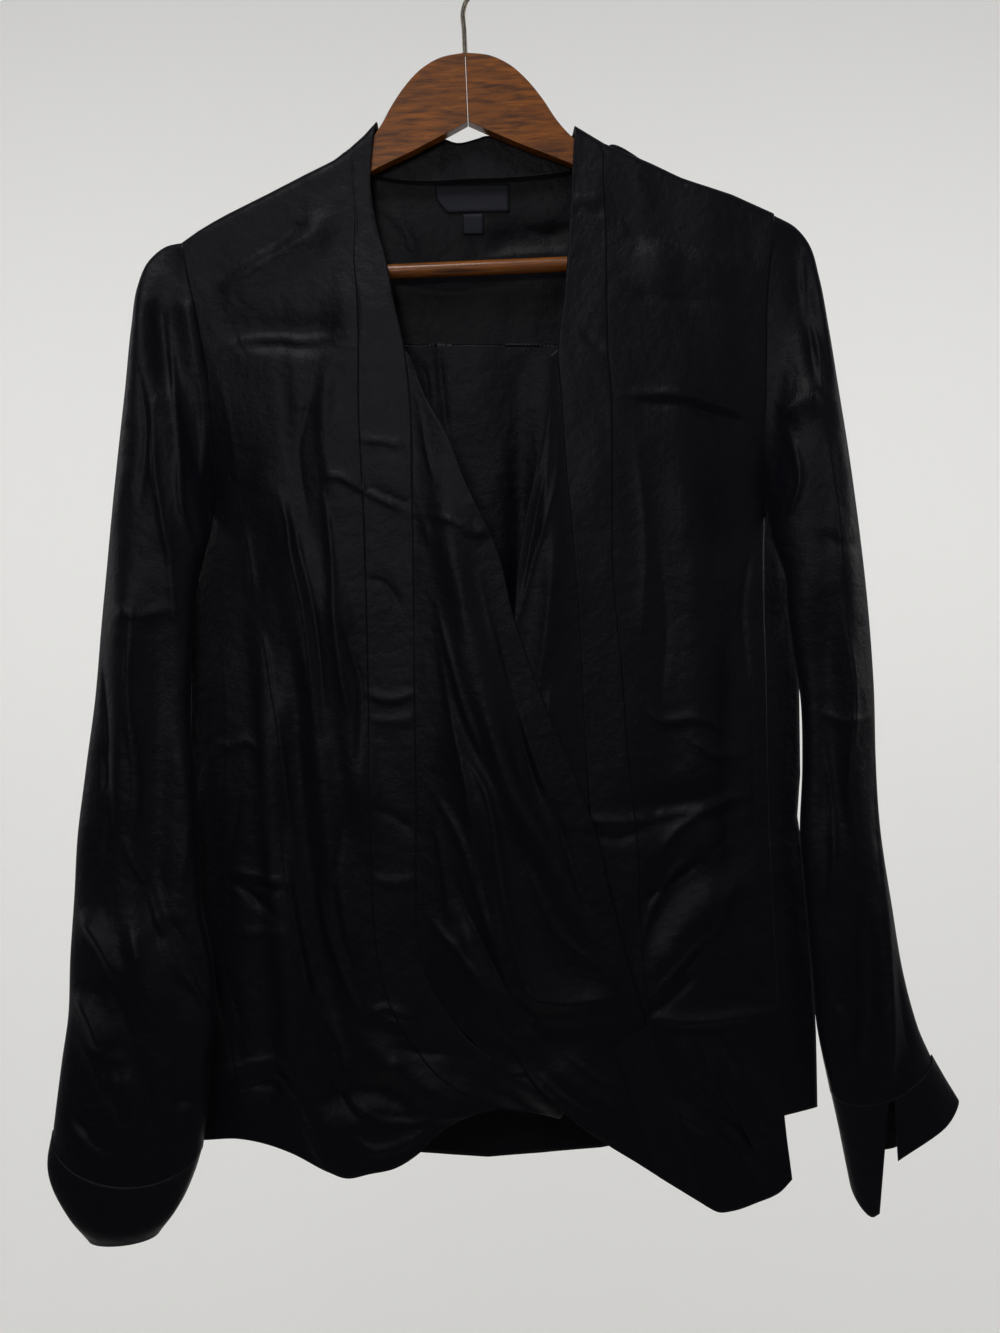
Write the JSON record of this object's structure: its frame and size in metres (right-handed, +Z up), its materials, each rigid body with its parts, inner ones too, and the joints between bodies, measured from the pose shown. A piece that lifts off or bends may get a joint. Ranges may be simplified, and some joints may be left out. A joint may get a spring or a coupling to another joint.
{
  "type": "tie neck blouse on a wooden hanger",
  "caption": "Long sleeved black silk blouse with crossing wrap fronts and a straight neck band, hung on a lacquered wooden hanger.",
  "frame": {"origin": "the inside top of the hanger's hook, where a rod carries it", "axes": "+Z up, +X to the right as seen from the front, the blouse faces -Y"},
  "size_m": [0.6272, 0.0791, 0.907],
  "materials": {
    "silk": "black sandwashed silk satin",
    "label": "black woven label, bare",
    "wood": "glossy red-brown lacquer",
    "hook_wire": "dark bright steel wire"
  },
  "bodies": {
    "root": {"neck_band": "silk", "left_band": "silk", "right_band": "silk", "left_front": "silk", "right_front": "silk", "left_wrap": "silk", "right_wrap": "silk", "back_yoke": "silk", "back": "silk", "left_sleeve": "silk", "right_sleeve": "silk", "left_cuff": "silk", "right_cuff": "silk", "neck_label": "label", "size_label": "label", "hanger_left_arm": "wood", "hanger_right_arm": "wood", "hanger_bar": "wood", "hanger_hook": "hook_wire"}
  },
  "joints": []
}
